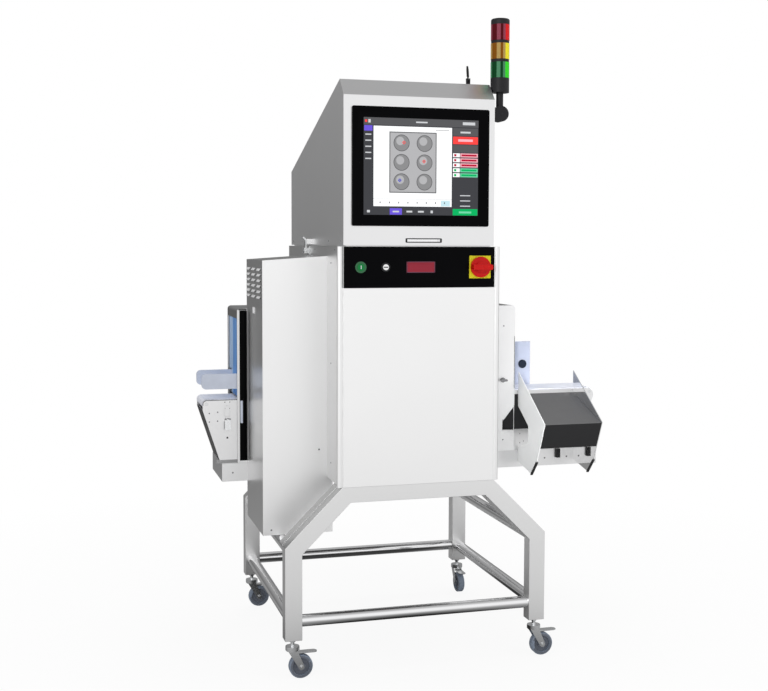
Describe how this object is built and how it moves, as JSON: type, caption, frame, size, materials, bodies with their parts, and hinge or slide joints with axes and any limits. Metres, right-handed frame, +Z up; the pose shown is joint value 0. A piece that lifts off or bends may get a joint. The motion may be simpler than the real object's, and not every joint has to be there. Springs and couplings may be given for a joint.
{
  "type": "food x-ray inspection machine",
  "caption": "Food x-ray inspection machine on a caster frame, with a shielded belt tunnel, lifting display hood, signal light and a reject pusher with a slide.",
  "frame": {"origin": "on the floor, under the middle of the caster frame", "axes": "+Z up, +X the way the belt travels from infeed to outfeed, the operator stands on the -Y side"},
  "size_m": [1.48, 0.8848, 2.079],
  "materials": {
    "satin_steel": "satin brushed",
    "bright_panel": "fine satin, very bright",
    "polished_steel": "polished",
    "zinc_steel": "zinc plated",
    "black_panel": "gloss",
    "black_plastic": "satin",
    "red_plastic": "semi-gloss",
    "yellow_plastic": "satin",
    "green_plastic": "semi-gloss",
    "readout_red": "smoked red window",
    "screen": "lit display glass",
    "lens_red": "tinted",
    "lens_amber": "tinted",
    "lens_green": "tinted",
    "machine_grey": "satin paint",
    "detector_black": "satin paint",
    "curtain_blue": "matte",
    "belt_white": "matte",
    "guide_blue": "satin",
    "pusher_blue": "satin paint",
    "tread_grey": "matte"
  },
  "bodies": {
    "root": {"front_frame": "satin_steel", "rear_frame": "satin_steel", "rails": "polished_steel", "cabinet_shell": "satin_steel", "front_panel": "bright_panel", "control_panel": "black_panel", "side_enclosure": "satin_steel", "tunnel_duct": "polished_steel", "generator": "machine_grey", "detector": "detector_black", "electrics": "machine_grey", "switch_bodies": "polished_steel", "number_display": "readout_red", "switch_plate": "yellow_plastic", "hood_hardware": "polished_steel", "base_channel": "satin_steel", "conveyor_frame": "satin_steel", "belt": "belt_white", "gear_motor": "machine_grey", "guide_rails": "guide_blue", "infeed_housing": "satin_steel", "outfeed_housing": "satin_steel", "curtains": "curtain_blue", "pusher_box": "pusher_blue", "chute_cheeks": "satin_steel", "chute_slide": "black_plastic", "caster_stems": "zinc_steel"},
    "hood": {"hood_shell": "satin_steel", "monitor_body": "black_panel", "monitor_screen": "screen", "pull_handle": "polished_steel", "tower_bracket": "black_plastic"},
    "tower": {"tower_body": "black_plastic", "red_lens": "lens_red", "amber_lens": "lens_amber", "green_lens": "lens_green"},
    "antenna": {"antenna_whip": "black_plastic"},
    "start_button": {"start_button": "green_plastic"},
    "key_switch": {"key_switch": "polished_steel"},
    "main_switch": {"main_switch_knob": "red_plastic"},
    "hood_latch": {"hood_latch_lever": "polished_steel"},
    "drive_roller": {"drive_roller": "polished_steel"},
    "infeed_roller": {"infeed_roller": "polished_steel"},
    "outfeed_roller": {"outfeed_roller": "polished_steel"},
    "outfeed_door": {"outfeed_door": "satin_steel"},
    "door_knob": {"door_knob": "black_plastic"},
    "belt_latch": {"belt_latch_lever": "polished_steel"},
    "pusher": {"pusher_head": "black_plastic"},
    "fork_front_left": {"caster_fork_front_left": "zinc_steel"},
    "wheel_front_left": {"caster_wheel_front_left": "tread_grey"},
    "pedal_front_left": {"brake_pedal_front_left": "zinc_steel"},
    "fork_front_right": {"caster_fork_front_right": "zinc_steel"},
    "wheel_front_right": {"caster_wheel_front_right": "tread_grey"},
    "pedal_front_right": {"brake_pedal_front_right": "zinc_steel"},
    "fork_rear_left": {"caster_fork_rear_left": "zinc_steel"},
    "wheel_rear_left": {"caster_wheel_rear_left": "tread_grey"},
    "pedal_rear_left": {"brake_pedal_rear_left": "zinc_steel"},
    "fork_rear_right": {"caster_fork_rear_right": "zinc_steel"},
    "wheel_rear_right": {"caster_wheel_rear_right": "tread_grey"},
    "pedal_rear_right": {"brake_pedal_rear_right": "zinc_steel"}
  },
  "joints": [
    {"name": "hood_lift", "type": "hinge", "parent": "root", "child": "hood", "pos_m": [0, 0.418, 1.3525], "axis": [-1, 0, 0], "range_deg": [0, 50]},
    {"name": "tower_fold", "type": "hinge", "parent": "hood", "child": "tower", "pos_m": [0.28, -0.359, 1.777], "axis": [0, 1, 0], "range_deg": [0, 90]},
    {"name": "antenna_tilt", "type": "hinge", "parent": "hood", "child": "antenna", "pos_m": [0.178, -0.342, 1.884], "axis": [-1, 0, 0], "range_deg": [0, 90]},
    {"name": "start_press", "type": "slide", "parent": "root", "child": "start_button", "axis": [0, 1, 0], "range_m": [0, 0.003], "stiffness_N_per_m": 500, "springref_m": -0.002},
    {"name": "key_turn", "type": "hinge", "parent": "root", "child": "key_switch", "pos_m": [-0.1139, -0.4155, 1.2865], "axis": [0, 1, 0], "range_deg": [0, 90]},
    {"name": "main_switch_turn", "type": "hinge", "parent": "root", "child": "main_switch", "pos_m": [0.1976, -0.42, 1.2865], "axis": [0, 1, 0], "range_deg": [0, 90]},
    {"name": "hood_latch_swing", "type": "hinge", "parent": "root", "child": "hood_latch", "pos_m": [-0.2665, 0.06, 1.335], "axis": [0, -1, 0], "range_deg": [0, 90]},
    {"name": "drive_spin", "type": "hinge", "parent": "root", "child": "drive_roller", "pos_m": [0.72, 0.178, 0.745], "axis": [0, 1, 0], "continuous": true},
    {"name": "infeed_spin", "type": "hinge", "parent": "root", "child": "infeed_roller", "pos_m": [-0.6085, 0.178, 0.8065], "axis": [0, 1, 0], "continuous": true},
    {"name": "outfeed_spin", "type": "hinge", "parent": "root", "child": "outfeed_roller", "pos_m": [0.8285, 0.178, 0.8065], "axis": [0, 1, 0], "continuous": true},
    {"name": "outfeed_door_swing", "type": "hinge", "parent": "root", "child": "outfeed_door", "pos_m": [0.269, 0.084, 0.861], "axis": [0, 0, -1], "range_deg": [0, 80]},
    {"name": "door_knob_turn", "type": "hinge", "parent": "outfeed_door", "child": "door_knob", "pos_m": [0.476, 0.0874, 0.861], "axis": [0, 1, 0], "range_deg": [0, 90]},
    {"name": "belt_latch_swing", "type": "hinge", "parent": "root", "child": "belt_latch", "pos_m": [-0.537, 0.09, 0.751], "axis": [-1, 0, 0], "range_deg": [0, 150]},
    {"name": "pusher_stroke", "type": "slide", "parent": "root", "child": "pusher", "axis": [0, -1, 0], "range_m": [0, 0.11]},
    {"name": "swivel_front_left", "type": "hinge", "parent": "root", "child": "fork_front_left", "pos_m": [-0.4065, -0.386, 0.1], "axis": [0, 0, 1], "continuous": true},
    {"name": "wheel_spin_front_left", "type": "hinge", "parent": "fork_front_left", "child": "wheel_front_left", "pos_m": [-0.3805, -0.386, 0.0375], "axis": [0, 1, 0], "continuous": true},
    {"name": "brake_press_front_left", "type": "hinge", "parent": "fork_front_left", "child": "pedal_front_left", "pos_m": [-0.3925, -0.386, 0.0815], "axis": [0, 1, 0], "range_deg": [0, 10]},
    {"name": "swivel_front_right", "type": "hinge", "parent": "root", "child": "fork_front_right", "pos_m": [0.4065, -0.386, 0.1], "axis": [0, 0, 1], "continuous": true},
    {"name": "wheel_spin_front_right", "type": "hinge", "parent": "fork_front_right", "child": "wheel_front_right", "pos_m": [0.4325, -0.386, 0.0375], "axis": [0, 1, 0], "continuous": true},
    {"name": "brake_press_front_right", "type": "hinge", "parent": "fork_front_right", "child": "pedal_front_right", "pos_m": [0.4205, -0.386, 0.0815], "axis": [0, 1, 0], "range_deg": [0, 10]},
    {"name": "swivel_rear_left", "type": "hinge", "parent": "root", "child": "fork_rear_left", "pos_m": [-0.4065, 0.386, 0.1], "axis": [0, 0, 1], "continuous": true},
    {"name": "wheel_spin_rear_left", "type": "hinge", "parent": "fork_rear_left", "child": "wheel_rear_left", "pos_m": [-0.3805, 0.386, 0.0375], "axis": [0, 1, 0], "continuous": true},
    {"name": "brake_press_rear_left", "type": "hinge", "parent": "fork_rear_left", "child": "pedal_rear_left", "pos_m": [-0.3925, 0.386, 0.0815], "axis": [0, 1, 0], "range_deg": [0, 10]},
    {"name": "swivel_rear_right", "type": "hinge", "parent": "root", "child": "fork_rear_right", "pos_m": [0.4065, 0.386, 0.1], "axis": [0, 0, 1], "continuous": true},
    {"name": "wheel_spin_rear_right", "type": "hinge", "parent": "fork_rear_right", "child": "wheel_rear_right", "pos_m": [0.4065, 0.36, 0.0375], "axis": [1, 0, 0], "continuous": true},
    {"name": "brake_press_rear_right", "type": "hinge", "parent": "fork_rear_right", "child": "pedal_rear_right", "pos_m": [0.4065, 0.372, 0.0815], "axis": [1, 0, 0], "range_deg": [0, 10]}
  ],
  "couplings": [
    {"joint": "infeed_spin", "follows": "drive_spin", "ratio": 2.6286},
    {"joint": "outfeed_spin", "follows": "drive_spin", "ratio": 2.6286}
  ]
}
